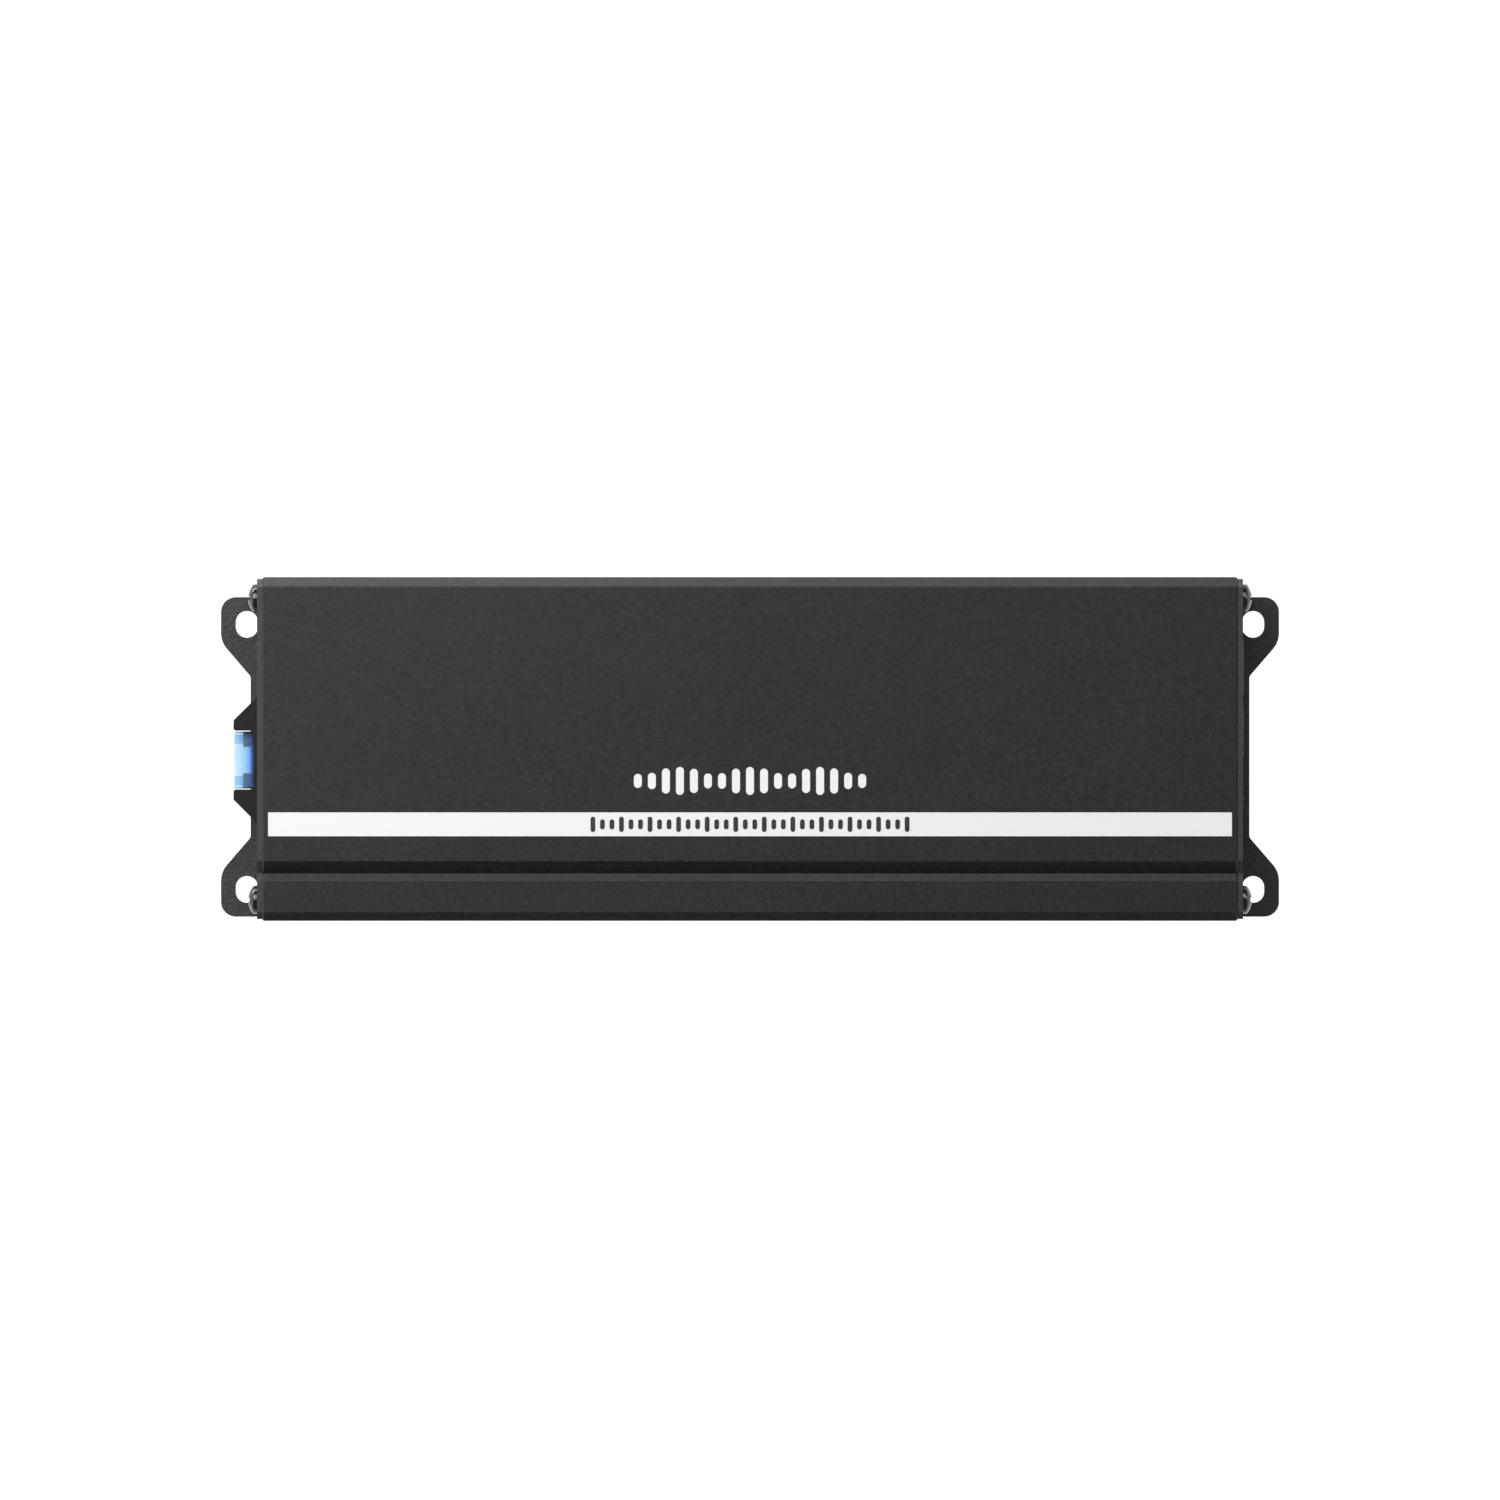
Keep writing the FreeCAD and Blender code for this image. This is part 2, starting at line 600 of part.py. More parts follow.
# ---------------------------------------------------------------- controls
def gain_body(y):
    """Housing of a rotary gain control, soldered to the control board."""
    body = box((CONTROL_FACE, 88.2), (y - 4.9, y + 4.9), (CONTROL_Z - 5.6, CONTROL_Z + 5.6))
    body = body.makeFillet(0.6, edges_along(body, X_AXIS, lambda p: True))
    return body.cut(rod(GAIN_RADIUS + 0.25, (83.6, y, CONTROL_Z), (90.0, y, CONTROL_Z)))


def gain_shaft(y):
    """Shaft of a gain control, turned with a screwdriver through the end plate."""
    shaft = rod(GAIN_RADIUS, (83.8, y, CONTROL_Z), (GAIN_FACE, y, CONTROL_Z))
    rim = [edge for edge in shaft.Edges if isinstance(edge.Curve, Part.Circle)
           and edge.CenterOfMass.x > GAIN_FACE - 0.01]
    shaft = shaft.makeChamfer(0.3, rim)
    slot = box((GAIN_FACE - 1.3, GAIN_FACE + 1), (y - 0.5, y + 0.5), (CONTROL_Z - 4, CONTROL_Z + 4))
    return shaft.cut(slot)


def switch_slot(x_range):
    """The slot that the slider of the filter switch moves in."""
    return box(x_range, (FILTER_Y - SWITCH_SLOT_HALF_WIDTH, FILTER_Y + SWITCH_SLOT_HALF_WIDTH),
               (CONTROL_Z - SWITCH_SLOT_HALF_HEIGHT, CONTROL_Z + SWITCH_SLOT_HALF_HEIGHT))


def filter_switch_body():
    """Housing of the two-position filter slide switch."""
    face = 88.4
    half_length = 6.3
    half_height = 2.9
    body = box((CONTROL_FACE, face), (FILTER_Y - half_length, FILTER_Y + half_length),
               (CONTROL_Z - half_height, CONTROL_Z + half_height))
    return body.cut(switch_slot((85.2, face + 1)))


def filter_switch_slider():
    """Slider of the filter switch, shown at the end of its travel nearest the front."""
    rest = FILTER_Y - FILTER_TRAVEL / 2
    slider = box((85.5, 92.8), (rest - 1.3, rest + 1.3), (CONTROL_Z - 1.15, CONTROL_Z + 1.15))
    for shift in (-0.6, 0.6):
        slider = slider.cut(box((92.5, 93.5), (rest + shift - 0.2, rest + shift + 0.2),
                                (CONTROL_Z - 2, CONTROL_Z + 2)))
    return slider


def power_led():
    """Round indicator lamp with a domed face in the end plate."""
    collar_front = LED_COLLAR_BACK + 1.0
    collar = rod(1.9, (LED_COLLAR_BACK, LED_Y, CONTROL_Z), (collar_front, LED_Y, CONTROL_Z))
    barrel = rod(LED_RADIUS, (collar_front, LED_Y, CONTROL_Z), (LED_TIP, LED_Y, CONTROL_Z))
    rim = [edge for edge in barrel.Edges if isinstance(edge.Curve, Part.Circle)
           and edge.CenterOfMass.x > LED_TIP - 0.01]
    return joined([collar, barrel.makeFillet(1.2, rim)])


def power_led_leads():
    """Two wire leads from the lamp back to the control board."""
    half = 0.25
    leads = []
    for y in (LED_Y - 1.0, LED_Y + 1.0):
        leads.append(box((CONTROL_FACE, LED_COLLAR_BACK), (y - half, y + half),
                         (CONTROL_Z - half, CONTROL_Z + half)))
    return grouped(leads)


# ---------------------------------------------------------------- power electronics
def ring(centre, radii, z_range, start=0.0, sweep=360.0):
    """A flat ring, or a sector of one, standing on the board."""
    outer, inner = radii
    base = V(centre[0], centre[1], min(z_range))
    height = max(z_range) - min(z_range)
    body = Part.makeCylinder(outer, height, base, Z_AXIS, sweep)
    body = body.cut(Part.makeCylinder(inner, height, base))
    body.rotate(base, Z_AXIS, start)
    return body


def toroid(centre, outer, inner, height, copper):
    """A ring core and the two windings around it, with the core showing between them."""
    z_low = BOARD_TOP + copper
    core = ring(centre, (outer, inner), (z_low, z_low + height))
    windings = []
    for start in (15.0, 195.0):
        coil = ring(centre, (outer + copper, inner - copper),
                    (BOARD_TOP, z_low + height + copper), start, 150.0)
        windings.append(coil.cut(core))
    return core, grouped(windings)


def storage_capacitors():
    """Four upright electrolytic capacitors with a rolled groove near the foot."""
    cans = []
    for x in (-61.0, -43.5):
        for y in (-15.8, 2.0):
            can = rod(8.0, (x, y, BOARD_TOP), (x, y, BOARD_TOP + 25.0))
            rims = [edge for edge in can.Edges if isinstance(edge.Curve, Part.Circle)]
            can = can.makeFillet(0.8, rims)
            groove = Part.makeTorus(8.3, 0.8, V(x, y, BOARD_TOP + 3.0))
            cans.append(can.cut(groove))
    return grouped(cans)


def output_inductors():
    """Eight shielded output filter inductors, two for each channel."""
    blocks = []
    for column in range(4):
        for y in (-17.0, -3.0):
            x = 24.0 + 13.0 * column
            block = box((x - 5.0, x + 5.0), (y - 5.0, y + 5.0), (BOARD_TOP, BOARD_TOP + 9.0))
            block = block.makeFillet(1.2, edges_along(block, Z_AXIS, lambda p: True))
            blocks.append(block.cut(rod(3.4, (x, y, BOARD_TOP + 8.4), (x, y, BOARD_TOP + 10))))
    return grouped(blocks)


def output_capacitors():
    """Eight film capacitors beside the output inductors."""
    blocks = []
    for column in range(8):
        x = 20.75 + 6.5 * column
        block = box((x - 1.75, x + 1.75), (6.0, 13.2), (BOARD_TOP, BOARD_TOP + 6.5))
        blocks.append(block.makeFillet(0.4, edges_along(block, Z_AXIS, lambda p: True)))
    return grouped(blocks)


def control_chips():
    """Small control and input chips on the main board."""
    chips = []
    for y in (-20.0, -12.0, -4.0, 4.0):
        for x in (3.5, 12.5):
            chips.append(box((x - 2.5, x + 2.5), (y - 2.0, y + 2.0), (BOARD_TOP, BOARD_TOP + 1.6)))
    return grouped(chips)


def upright_package(x, width, leg_count, leg_pitch):
    """A power package standing against the heat land, with its legs down to the board."""
    body = box((x - width / 2, x + width / 2), (DEVICE_FRONT, DEVICE_BACK), (14.0, 30.0))
    body = body.makeChamfer(0.6, edges_along(body, X_AXIS, lambda p: p.y < DEVICE_FRONT + 0.01))
    parts = [body]
    for index in range(leg_count):
        leg_x = x + (index - (leg_count - 1) / 2) * leg_pitch
        parts.append(box((leg_x - 0.35, leg_x + 0.35), (23.0, 23.6), (BOARD_TOP, 14.0)))
    return joined(parts)


def power_transistors():
    """Six transistors and rectifiers of the supply, clamped to the heat land."""
    return grouped([upright_package(x, 10.0, 3, 2.54) for x in TRANSISTOR_X])


def amplifier_chips():
    """Two two-channel amplifier chips, clamped to the heat land."""
    return grouped([upright_package(x, 29.0, 13, 2.0) for x in CHIP_X])


def thermal_strip():
    """Insulating, heat-conducting strip between the power devices and the cover."""
    strip = box((-78.0, 78.0), (DEVICE_BACK, LAND_FACE), (12.0, 31.0))
    for x in CLAMP_SCREW_X:
        strip = strip.cut(rod(CLEARANCE_RADIUS, (x, DEVICE_BACK - 1, CLAMP_Z),
                              (x, LAND_FACE + 1, CLAMP_Z)))
    return strip


def clamp_bar():
    """Steel bar that presses the power devices against the cover."""
    bar = box((-78.0, 78.0), (DEVICE_FRONT - CLAMP_THICKNESS, DEVICE_FRONT), (CLAMP_Z - 5, CLAMP_Z + 5))
    for x in CLAMP_SCREW_X:
        bar = bar.cut(rod(CLEARANCE_RADIUS, (x, DEVICE_FRONT - 5, CLAMP_Z),
                          (x, DEVICE_FRONT + 1, CLAMP_Z)))
    return bar


def clamp_screws():
    """Five screws through the clamp bar into the heat land."""
    seat_y = DEVICE_FRONT - CLAMP_THICKNESS
    return grouped([pan_screw((x, seat_y, CLAMP_Z), (0, 1, 0), 11.0) for x in CLAMP_SCREW_X])


# ---------------------------------------------------------------- export
def all_parts():
    """Every part of the amplifier by name."""
    transformer_core, transformer_windings = toroid((-18.0, -9.0), 13.0, 7.0, 9.0, 2.0)
    choke_core, choke_windings = toroid((-18.0, 12.6), 5.0, 2.6, 6.0, 1.0)
    return {
        "heatsink_cover": heatsink_cover(),
        "base_plate": base_plate(),
        "left_end_plate": left_end_plate(),
        "right_end_plate": right_end_plate(),
        "end_plate_screws": end_plate_screws(),
        "base_plate_screws": base_plate_screws(),
        "board_standoffs": board_standoffs(),
        "board_screws": board_screws(),
        "insulating_film": insulating_film(),
        "main_circuit_board": main_circuit_board(),
        "control_board": control_board(),
        "fuse_holder": fuse_holder(),
        "fuse_contacts": fuse_contacts(),
        "fuse_body": fuse_body(),
        "fuse_blades": fuse_blades(),
        "power_connector": shroud(POWER_PLUG, -1),
        "power_connector_pins": grouped(plug_pins(POWER_PLUG, -1)),
        "speaker_connector": shroud(SPEAKER_PLUG, 1),
        "speaker_connector_pins": grouped(plug_pins(SPEAKER_PLUG, 1)),
        "input_connector": shroud(INPUT_PLUG, 1),
        "input_connector_pins": grouped(plug_pins(INPUT_PLUG, 1)),
        "gain_front_body": gain_body(GAIN_FRONT_Y),
        "gain_front_shaft": gain_shaft(GAIN_FRONT_Y),
        "gain_rear_body": gain_body(GAIN_REAR_Y),
        "gain_rear_shaft": gain_shaft(GAIN_REAR_Y),
        "filter_switch_body": filter_switch_body(),
        "filter_switch_slider": filter_switch_slider(),
        "power_led": power_led(),
        "power_led_leads": power_led_leads(),
        "transformer_core": transformer_core,
        "transformer_windings": transformer_windings,
        "choke_core": choke_core,
        "choke_windings": choke_windings,
        "storage_capacitors": storage_capacitors(),
        "output_inductors": output_inductors(),
        "output_capacitors": output_capacitors(),
        "control_chips": control_chips(),
        "power_transistors": power_transistors(),
        "amplifier_chips": amplifier_chips(),
        "thermal_strip": thermal_strip(),
        "clamp_bar": clamp_bar(),
        "clamp_screws": clamp_screws(),
    }


os.makedirs("parts", exist_ok=True)
for name, shape in all_parts().items():
    shape.exportStep(f"parts/{name}.step")
    print(f"{name}: {len(shape.Solids)} solid(s), valid {shape.isValid()}, {shape.Volume:.1f} mm3")
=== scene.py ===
"""Looks of the car amplifier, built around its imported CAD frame.

Every CAD node keeps its shape and gets a procedural material. The ink on the cover and on the
right end plate is added as thin raised print that rides on the housing.
"""
import math

import bmesh
import bpy
from mathutils import Matrix, Vector


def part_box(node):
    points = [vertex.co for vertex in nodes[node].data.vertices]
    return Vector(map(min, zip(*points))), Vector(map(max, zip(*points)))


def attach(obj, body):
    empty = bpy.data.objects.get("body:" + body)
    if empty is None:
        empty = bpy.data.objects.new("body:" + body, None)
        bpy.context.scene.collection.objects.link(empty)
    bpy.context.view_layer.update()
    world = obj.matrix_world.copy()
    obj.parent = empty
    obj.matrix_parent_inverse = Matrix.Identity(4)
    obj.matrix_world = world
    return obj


MM = 0.001
INK_THICKNESS = 0.03 * MM
ARC_STEPS = 10                # in a quarter circle
MERGE_DISTANCE = 1e-7         # points of a print closer than this are one, in metres

# printed stripe and marks on the cover, in millimetres
STRIPE_INSET = 1.1            # from each end of the cover
STRIPE_WIDTH = 4.5
STRIPE_TO_GROOVE = 4.8        # from the groove to the front edge of the stripe
GROOVE_BACK = -21.3           # where the flat top ends and the long groove starts
SCALE_LENGTH = 59.4           # the row of dark ticks in the stripe
SCALE_TICKS = 34
TICK_WIDTH = 0.9
TALL_TICK = 2.9
SHORT_TICK = 1.9
TALL_TICK_EVERY = 3
EMBLEM_BARS = 17
EMBLEM_PITCH = 2.65
EMBLEM_BAR_WIDTH = 1.5
EMBLEM_HEIGHT = 5.3
EMBLEM_MIDDLE_Y = -6.05
EMBLEM_LEAST = 0.34           # share of the full height that every bar has
EMBLEM_SWING = 0.66           # share that comes and goes along the row
EMBLEM_WAVE = 0.62            # radians of the wave from one bar to the next

# printed marks on the right end plate, in millimetres and degrees
DIAL_INNER = 4.3
DIAL_OUTER = 4.55
DIAL_START = -50
DIAL_END = 230
DOT_RING = 4.95
DOT_SIZE = 0.4
DOT_STEP = 40
SWITCH_TRAVEL = 2.0
SWITCH_MARK_RISE = 3.2        # above the middle of the slider
SWITCH_MARK_WIDTH = 0.4
SWITCH_MARK_HEIGHT = 1.2

# finishes
NOISE_LOW = 0.3               # nearly all of a noise lies between these two
NOISE_HIGH = 0.7
UNEVEN_GLOSS = 0.04           # roughness either side of the middle value
UNEVEN_GLOSS_SIZE = 14.0      # millimetres
FUSE_PAINTED_LIGHT_DEPTH = 4.2               # millimetres from the pale painted light at the fuse's outer face to its deep blue painted shade inside

# stage, in metres unless noted
FLOOR_SIZE = 2.0
FLOOR_DROP = 0.02             # millimetres below the feet
WORLD_STRENGTH = 0.25
LIGHT_TARGET = (0.0, 0.0, 0.03)
SOFTBOXES = (                 # name, place, size, radiance
    ("top_light", (-0.12, 0.25, 0.57), (0.72, 0.32), 4.2),
    ("back_light", (-0.55, 0.90, 0.09), (1.1, 0.24), 18.5),
    ("left_light", (-0.36, 0.19, 0.46), (0.22, 0.34), 7.2),
    ("right_light", (0.55, 0.15, 0.42), (0.22, 0.34), 5.0),
    ("low_left_light", (-0.90, 0.0, 0.13), (0.8, 0.24), 3.0),
)

# camera, in metres
FRAME_WIDTH = 0.28355
CAMERA_HEIGHT = 1.5
CAMERA_CLIP = 0.1
FRAME_MIDDLE_Y = -0.0002

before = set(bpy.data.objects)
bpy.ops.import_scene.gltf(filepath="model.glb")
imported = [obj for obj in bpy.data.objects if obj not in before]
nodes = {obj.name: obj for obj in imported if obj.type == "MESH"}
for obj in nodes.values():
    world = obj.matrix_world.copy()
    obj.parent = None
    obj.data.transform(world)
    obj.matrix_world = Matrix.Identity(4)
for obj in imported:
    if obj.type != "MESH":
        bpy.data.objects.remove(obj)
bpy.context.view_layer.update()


# ---------------------------------------------------------------- node helpers
def start(name):
    """A new material with its node tree and shader."""
    material = bpy.data.materials.new(name)
    material.use_nodes = True
    tree = material.node_tree
    return material, tree, tree.nodes["Principled BSDF"]


def noise(tree, size, detail=3.0, stretch=(1.0, 1.0, 1.0)):
    """Noise whose features are about size millimetres, longer along an axis by its stretch."""
    coordinates = tree.nodes.new("ShaderNodeTexCoord")
    mapping = tree.nodes.new("ShaderNodeMapping")
    mapping.inputs["Scale"].default_value = [1.0 / along for along in stretch]
    texture = tree.nodes.new("ShaderNodeTexNoise")
    texture.inputs["Scale"].default_value = 1.0 / (size * MM)
    texture.inputs["Detail"].default_value = detail
    tree.links.new(coordinates.outputs["Object"], mapping.inputs["Vector"])
    tree.links.new(mapping.outputs["Vector"], texture.inputs["Vector"])
    return texture.outputs["Fac"]


def ramp(tree, factor, low, high, start_at=NOISE_LOW, end_at=NOISE_HIGH):
    """A colour that runs from low to high as the factor rises."""
    node = tree.nodes.new("ShaderNodeValToRGB")
    node.color_ramp.elements[0].position = start_at
    node.color_ramp.elements[0].color = (*low, 1.0)
    node.color_ramp.elements[1].position = end_at
    node.color_ramp.elements[1].color = (*high, 1.0)
    tree.links.new(factor, node.inputs["Fac"])
    return node.outputs["Color"]


def spread(tree, factor, low, high):
    """A noise brought to a range of values."""
    node = tree.nodes.new("ShaderNodeMapRange")
    node.inputs["From Min"].default_value = NOISE_LOW
    node.inputs["From Max"].default_value = NOISE_HIGH
    node.inputs["To Min"].default_value = low
    node.inputs["To Max"].default_value = high
    tree.links.new(factor, node.inputs["Value"])
    return node.outputs["Result"]


def bump(tree, shader, layers):
    """Relief from one or more (height socket, depth in millimetres) layers, stacked."""
    previous = None
    for height, depth in layers:
        node = tree.nodes.new("ShaderNodeBump")
        node.inputs["Distance"].default_value = depth * MM
        tree.links.new(height, node.inputs["Height"])
        if previous:
            tree.links.new(previous, node.inputs["Normal"])
        previous = node.outputs["Normal"]
    tree.links.new(previous, shader.inputs["Normal"])


def shaded(colour, share):
    """A colour made darker or lighter by a share of itself."""
    return tuple(channel * share for channel in colour)


def surface(name, colour, roughness, grain, depth, metallic=0.0, specular=0.5, vary=0.15):
    """A finish with fine grain in tone and relief, and slowly uneven gloss."""
    material, tree, shader = start(name)
    shader.inputs["Metallic"].default_value = metallic
    shader.inputs["Specular IOR Level"].default_value = specular
    fine = noise(tree, grain)
    slow = noise(tree, UNEVEN_GLOSS_SIZE, detail=2.0)
    tone = ramp(tree, fine, shaded(colour, 1.0 - vary), shaded(colour, 1.0 + vary))
    tree.links.new(tone, shader.inputs["Base Color"])
    gloss = spread(tree, slow, roughness - UNEVEN_GLOSS, roughness + UNEVEN_GLOSS)
    tree.links.new(gloss, shader.inputs["Roughness"])
    bump(tree, shader, [(fine, depth)])
    return material


def metal(name, colour, roughness, grain, depth, vary):
    """A bare or plated metal."""
    return surface(name, colour, roughness, grain, depth, metallic=1.0, vary=vary)


# ---------------------------------------------------------------- finishes of the housing
def cover_black():
    """Black anodised extrusion: fine matt grain over faint drawing lines along its length."""
    material, tree, shader = start("cover_black")
    shader.inputs["Specular IOR Level"].default_value = 0.31
    fine = noise(tree, 0.75, detail=5.0)
    drawn = noise(tree, 0.22, detail=2.0, stretch=(90.0, 1.0, 1.0))
    slow = noise(tree, 22.0, detail=3.0)
    tone = ramp(tree, fine, (0.0024, 0.0024, 0.0026), (0.0114, 0.0114, 0.0120))
    tree.links.new(tone, shader.inputs["Base Color"])
    gloss = spread(tree, slow, 0.40, 0.46)
    tree.links.new(gloss, shader.inputs["Roughness"])
    bump(tree, shader, [(drawn, 0.003), (fine, 0.020)])
    return material


def steel_black():
    """Powder coat on sheet steel: the shallow orange peel of sprayed powder."""
    material, tree, shader = start("steel_black")
    shader.inputs["Specular IOR Level"].default_value = 0.32
    peel = noise(tree, 0.7, detail=1.0)
    fine = noise(tree, 0.18, detail=3.0)
    tone = ramp(tree, fine, (0.0120, 0.0110, 0.0113), (0.0420, 0.0390, 0.0396))
    tree.links.new(tone, shader.inputs["Base Color"])
    gloss = spread(tree, peel, 0.42, 0.54)
    tree.links.new(gloss, shader.inputs["Roughness"])
    bump(tree, shader, [(peel, 0.06), (fine, 0.018)])
    return material


def fuse_blue():
    """Clear light blue polymer of the fuse body, with painted light making it pale at its outer
    face and painted shade making it deeper blue inside.
    """
    material, tree, shader = start("fuse_blue")
    shader.inputs["Transmission Weight"].default_value = 0.75
    shader.inputs["IOR"].default_value = 1.55
    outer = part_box("fuse_body")[0].x
    coordinates = tree.nodes.new("ShaderNodeTexCoord")
    axes = tree.nodes.new("ShaderNodeSeparateXYZ")
    depth = tree.nodes.new("ShaderNodeMapRange")
    depth.inputs["From Min"].default_value = outer
    depth.inputs["From Max"].default_value = outer + FUSE_PAINTED_LIGHT_DEPTH * MM
    tree.links.new(coordinates.outputs["Object"], axes.inputs["Vector"])
    tree.links.new(axes.outputs["X"], depth.inputs["Value"])
    # painted light and shade: pale where light shines through the outer face, deep blue further in
    tone = ramp(tree, depth.outputs["Result"], (0.64, 0.87, 1.0), (0.05, 0.20, 0.95), 0.05, 0.95)
    middle = tone.node.color_ramp.elements.new(0.5)
    middle.color = (0.34, 0.66, 1.0, 1.0)
    tree.links.new(tone, shader.inputs["Base Color"])
    flow = noise(tree, 1.6, detail=2.0, stretch=(3.0, 1.0, 1.0))
    gloss = spread(tree, flow, 0.10, 0.20)
    tree.links.new(gloss, shader.inputs["Roughness"])
    bump(tree, shader, [(flow, 0.02)])
    return material


def clear_plastic(name, colour, roughness):
    """Clear or tinted resin with slight waviness."""
    material, tree, shader = start(name)
    shader.inputs["Transmission Weight"].default_value = 0.9
    shader.inputs["IOR"].default_value = 1.52
    wave = noise(tree, 2.5, detail=1.0)
    tone = ramp(tree, wave, shaded(colour, 0.9), colour)
    tree.links.new(tone, shader.inputs["Base Color"])
    gloss = spread(tree, wave, roughness, roughness + 0.06)
    tree.links.new(gloss, shader.inputs["Roughness"])
    bump(tree, shader, [(wave, 0.01)])
    return material


# ---------------------------------------------------------------- finishes of the electronics
def board_green():
    """Green solder mask over copper tracks, which show as slightly raised paler lines."""
    material, tree, shader = start("board_green")
    coordinates = tree.nodes.new("ShaderNodeTexCoord")
    tracks = tree.nodes.new("ShaderNodeTexBrick")
    tracks.inputs["Scale"].default_value = 1.0 / (9.0 * MM)
    tracks.inputs["Mortar Size"].default_value = 0.035
    tracks.inputs["Color1"].default_value = (0.012, 0.085, 0.030, 1.0)
    tracks.inputs["Color2"].default_value = (0.010, 0.070, 0.026, 1.0)
    tracks.inputs["Mortar"].default_value = (0.035, 0.19, 0.060, 1.0)
    tree.links.new(coordinates.outputs["Object"], tracks.inputs["Vector"])
    tree.links.new(tracks.outputs["Color"], shader.inputs["Base Color"])
    weave = noise(tree, 0.5)
    gloss = spread(tree, weave, 0.28, 0.38)
    tree.links.new(gloss, shader.inputs["Roughness"])
    bump(tree, shader, [(tracks.outputs["Fac"], 0.03), (weave, 0.005)])
    return material


def copper_wire():
    """Enamelled copper wire, laid side by side in turns, with painted shade in the gaps between
    them.
    """
    material, tree, shader = start("copper_wire")
    shader.inputs["Metallic"].default_value = 0.85
    coordinates = tree.nodes.new("ShaderNodeTexCoord")
    turns = tree.nodes.new("ShaderNodeTexWave")
    turns.inputs["Scale"].default_value = 1.0 / (5.0 * MM)
    turns.inputs["Distortion"].default_value = 0.6
    tree.links.new(coordinates.outputs["Object"], turns.inputs["Vector"])
    # painted shade: the colour darkens where the wave, and so the relief, is low between the turns
    tone = ramp(tree, turns.outputs["Fac"], (0.20, 0.055, 0.020), (0.62, 0.22, 0.09), 0.1, 0.8)
    tree.links.new(tone, shader.inputs["Base Color"])
    gloss = spread(tree, noise(tree, 1.2), 0.25, 0.4)
    tree.links.new(gloss, shader.inputs["Roughness"])
    bump(tree, shader, [(turns.outputs["Fac"], 0.2)])
    return material


def finishes():
    """One material for each slot of the record."""
    return {
        "cover_black": cover_black(),
        "steel_black": steel_black(),
        "screw_steel": metal("screw_steel", (0.78, 0.77, 0.75), 0.22, 0.5, 0.006, 0.05),
        "screw_black": metal("screw_black", (0.060, 0.059, 0.061), 0.18, 0.4, 0.004, 0.1),
        "holder_black": surface("holder_black", (0.0045, 0.0040, 0.0042), 0.46, 0.16, 0.010,
                                specular=0.22),
        "fuse_blue": fuse_blue(),
        "tinned_metal": metal("tinned_metal", (0.66, 0.66, 0.65), 0.30, 0.6, 0.008, 0.08),
        "contact_brass": metal("contact_brass", (0.72, 0.50, 0.20), 0.28, 0.6, 0.006, 0.08),
        "board_green": board_green(),
        "control_plastic": surface("control_plastic", (0.016, 0.016, 0.018), 0.38, 0.2, 0.006,
                                   vary=0.1),
        "control_white": surface("control_white", (0.70, 0.69, 0.64), 0.40, 0.25, 0.006, vary=0.04),
        "control_metal": metal("control_metal", (0.55, 0.55, 0.56), 0.34, 0.4, 0.008, 0.08),
        "lamp_clear": clear_plastic("lamp_clear", (0.75, 0.95, 0.80), 0.08),
        "ferrite": surface("ferrite", (0.035, 0.034, 0.036), 0.60, 0.5, 0.03, vary=0.25),
        "copper_wire": copper_wire(),
        "capacitor_sleeve": surface("capacitor_sleeve", (0.012, 0.014, 0.020), 0.25, 1.5, 0.02),
        "film_block": surface("film_block", (0.38, 0.06, 0.04), 0.30, 0.8, 0.02, vary=0.08),
        "package_black": surface("package_black", (0.016, 0.016, 0.017), 0.55, 0.12, 0.012,
                                 vary=0.2),
        "thermal_grey": surface("thermal_grey", (0.30, 0.31, 0.33), 0.70, 0.3, 0.02, vary=0.08),
        "film_clear": clear_plastic("film_clear", (0.90, 0.88, 0.80), 0.20),
    }


def ink(name, colour):
    """Screen-printed ink: slightly uneven cover over the grain below."""
    return surface(name, colour, 0.48, 0.35, 0.006, specular=0.4, vary=0.012)


# ---------------------------------------------------------------- printed marks
def rounded_bar(x, y, width, height):
    """The outline of an upright bar with rounded ends, about a centre."""
    radius = min(width, height) / 2
    outline = []
    for corner_x, corner_y, turn in ((1, -1, -90), (1, 1, 0), (-1, 1, 90), (-1, -1, 180)):
        for step in range(ARC_STEPS + 1):
            angle = math.radians(turn + 90 * step / ARC_STEPS)
            outline.append((x + corner_x * (width / 2 - radius) + radius * math.cos(angle),
                            y + corner_y * (height / 2 - radius) + radius * math.sin(angle)))
    return outline


def arc_band(x, y, inner, outer, start_angle, end_angle):
    """The outline of part of a ring about a centre, between two angles in degrees."""
    steps = 4 * ARC_STEPS
    angles = [math.radians(start_angle + (end_angle - start_angle) * step / steps)
              for step in range(steps + 1)]
    outside = [(x + outer * math.cos(a), y + outer * math.sin(a)) for a in angles]
    inside = [(x + inner * math.cos(a), y + inner * math.sin(a)) for a in reversed(angles)]
    return outside + inside


def square_bar(x_range, y_range):
    """The outline of a plain rectangle."""
    return [(x_range[0], y_range[0]), (x_range[1], y_range[0]),
            (x_range[1], y_range[1]), (x_range[0], y_range[1])]


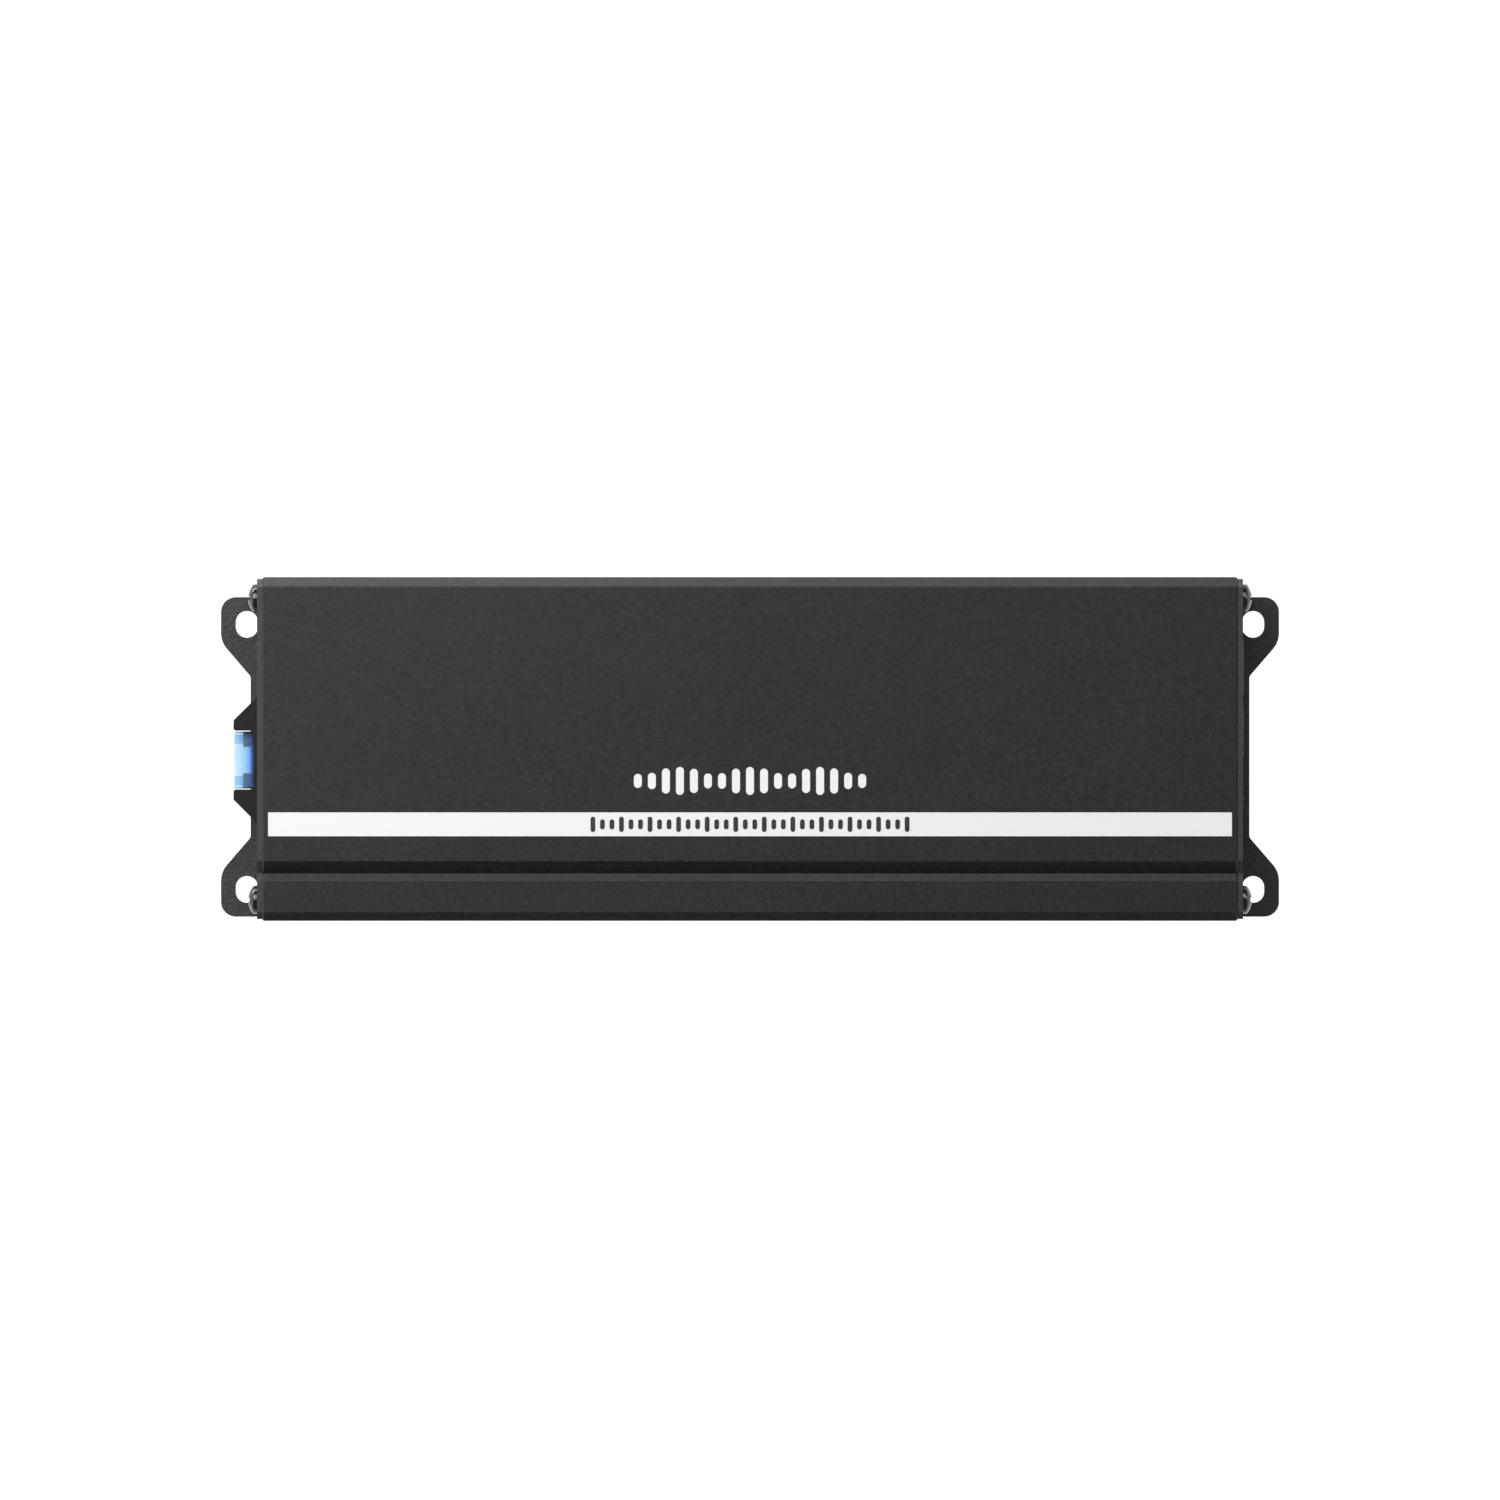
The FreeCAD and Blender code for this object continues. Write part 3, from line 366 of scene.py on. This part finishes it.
def printed(name, outlines, place, material, lift=0.0):
    """Flat outlines in millimetres, raised to the thickness of ink and laid on a face."""
    mesh = bpy.data.meshes.new(name)
    form = bmesh.new()
    for outline in outlines:
        low = [form.verts.new((x * MM, y * MM, lift)) for x, y in outline]
        high = [form.verts.new((x * MM, y * MM, lift + INK_THICKNESS)) for x, y in outline]
        form.faces.new(list(reversed(low)))
        form.faces.new(high)
        count = len(outline)
        for index in range(count):
            after = (index + 1) % count
            form.faces.new((low[index], low[after], high[after], high[index]))
    bmesh.ops.remove_doubles(form, verts=form.verts, dist=MERGE_DISTANCE)
    bmesh.ops.triangulate(form, faces=[face for face in form.faces if len(face.verts) > 4])
    form.to_mesh(mesh)
    form.free()
    piece = bpy.data.objects.new(name, mesh)
    bpy.context.scene.collection.objects.link(piece)
    mesh.materials.append(material)
    mesh.transform(place)
    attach(piece, "housing")


def emblem_outlines():
    """A symmetrical row of level bars, tall in the middle and towards the ends."""
    outlines = []
    middle = (EMBLEM_BARS - 1) / 2
    for index in range(EMBLEM_BARS):
        away = abs(index - middle)
        share = EMBLEM_LEAST + EMBLEM_SWING * abs(math.cos(EMBLEM_WAVE * away))
        outlines.append(rounded_bar((index - middle) * EMBLEM_PITCH, EMBLEM_MIDDLE_Y,
                                    EMBLEM_BAR_WIDTH, EMBLEM_HEIGHT * share))
    return outlines


def cover_prints(white, dark):
    """The white stripe with its dark tick scale, and the level bar emblem."""
    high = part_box("heatsink_cover")[1]
    half = high.x / MM - STRIPE_INSET
    front = GROOVE_BACK + STRIPE_TO_GROOVE
    back = front + STRIPE_WIDTH
    top = Matrix.Translation(Vector((0.0, 0.0, high.z)))
    printed("cover_stripe", [square_bar((-half, half), (front, back))], top, white)
    printed("cover_emblem", emblem_outlines(), top, white)
    ticks = []
    pitch = SCALE_LENGTH / (SCALE_TICKS - 1)
    for index in range(SCALE_TICKS):
        height = SHORT_TICK if index % TALL_TICK_EVERY else TALL_TICK
        ticks.append(rounded_bar(index * pitch - SCALE_LENGTH / 2, (front + back) / 2,
                                 TICK_WIDTH, height))
    printed("cover_scale", ticks, top, dark, lift=INK_THICKNESS)


def end_prints(white):
    """Dial arcs around the gain holes and position marks at the filter switch."""
    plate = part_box("right_end_plate")[1].x
    face = Matrix(((0, 0, 1, plate), (1, 0, 0, 0), (0, 1, 0, 0), (0, 0, 0, 1)))
    marks = []
    for shaft in ("gain_front_shaft", "gain_rear_shaft"):
        low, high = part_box(shaft)
        y, z = (low.y + high.y) / 2 / MM, (low.z + high.z) / 2 / MM
        marks.append(arc_band(y, z, DIAL_INNER, DIAL_OUTER, DIAL_START, DIAL_END))
        for turn in range(DIAL_START, DIAL_END + 1, DOT_STEP):
            angle = math.radians(turn)
            dot = (y + DOT_RING * math.cos(angle), z + DOT_RING * math.sin(angle))
            marks.append(rounded_bar(*dot, DOT_SIZE, DOT_SIZE))
    low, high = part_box("filter_switch_slider")
    rest, z = (low.y + high.y) / 2 / MM, (low.z + high.z) / 2 / MM
    for index in (0, 1):
        marks.append(rounded_bar(rest + SWITCH_TRAVEL * index, z + SWITCH_MARK_RISE,
                                 SWITCH_MARK_WIDTH, SWITCH_MARK_HEIGHT))
    printed("control_marks", marks, face, white)


# ---------------------------------------------------------------- stage
def softbox(name, place, size, radiance):
    """A soft rectangular light of a given brightness that faces the object."""
    lamp = bpy.data.lights.new(name, "AREA")
    lamp.shape = "RECTANGLE"
    lamp.size, lamp.size_y = size
    lamp.energy = radiance * math.pi * size[0] * size[1]
    light = bpy.data.objects.new(name, lamp)
    light.location = place
    aim = Vector(LIGHT_TARGET) - Vector(place)
    light.rotation_euler = aim.to_track_quat("-Z", "Y").to_euler()
    light.visible_camera = False
    bpy.context.scene.collection.objects.link(light)


def studio():
    """Pale floor, light world, and softboxes above, behind and at the sides."""
    world = bpy.data.worlds.new("studio")
    world.use_nodes = True
    background = world.node_tree.nodes["Background"]
    background.inputs["Color"].default_value = (1.0, 1.0, 1.0, 1.0)
    background.inputs["Strength"].default_value = WORLD_STRENGTH
    bpy.context.scene.world = world

    mesh = bpy.data.meshes.new("floor")
    form = bmesh.new()
    bmesh.ops.create_grid(form, x_segments=1, y_segments=1, size=FLOOR_SIZE)
    form.to_mesh(mesh)
    form.free()
    floor = bpy.data.objects.new("floor", mesh)
    floor.location.z = -FLOOR_DROP * MM
    bpy.context.scene.collection.objects.link(floor)
    material, tree, shader = start("floor_white")
    tone = ramp(tree, noise(tree, 60.0, detail=1.0), (0.22, 0.22, 0.22), (0.24, 0.24, 0.24))
    tree.links.new(tone, shader.inputs["Base Color"])
    shader.inputs["Roughness"].default_value = 0.9
    shader.inputs["Emission Color"].default_value = (1.0, 1.0, 1.0, 1.0)
    shader.inputs["Emission Strength"].default_value = 1.0
    mesh.materials.append(material)

    for name, place, size, radiance in SOFTBOXES:
        softbox(name, place, size, radiance)


def camera():
    """Straight down from above the middle, without perspective."""
    lens = bpy.data.cameras.new("camera")
    lens.type = "ORTHO"
    lens.ortho_scale = FRAME_WIDTH
    lens.clip_start = CAMERA_CLIP
    lens.clip_end = 2 * CAMERA_HEIGHT
    view = bpy.data.objects.new("camera", lens)
    view.location = (0.0, FRAME_MIDDLE_Y, CAMERA_HEIGHT)
    bpy.context.scene.collection.objects.link(view)
    bpy.context.scene.camera = view


# ---------------------------------------------------------------- build
materials = finishes()
for node in nodes.values():
    for slot in node.material_slots:
        slot.material = materials[slot.material.name.split(".")[0]]

white_ink = ink("white_ink", (0.63, 0.63, 0.644))
dark_ink = ink("dark_ink", (0.012, 0.012, 0.013))
cover_prints(white_ink, dark_ink)
end_prints(white_ink)
studio()
camera()
bpy.context.scene.view_settings.view_transform = "Standard"
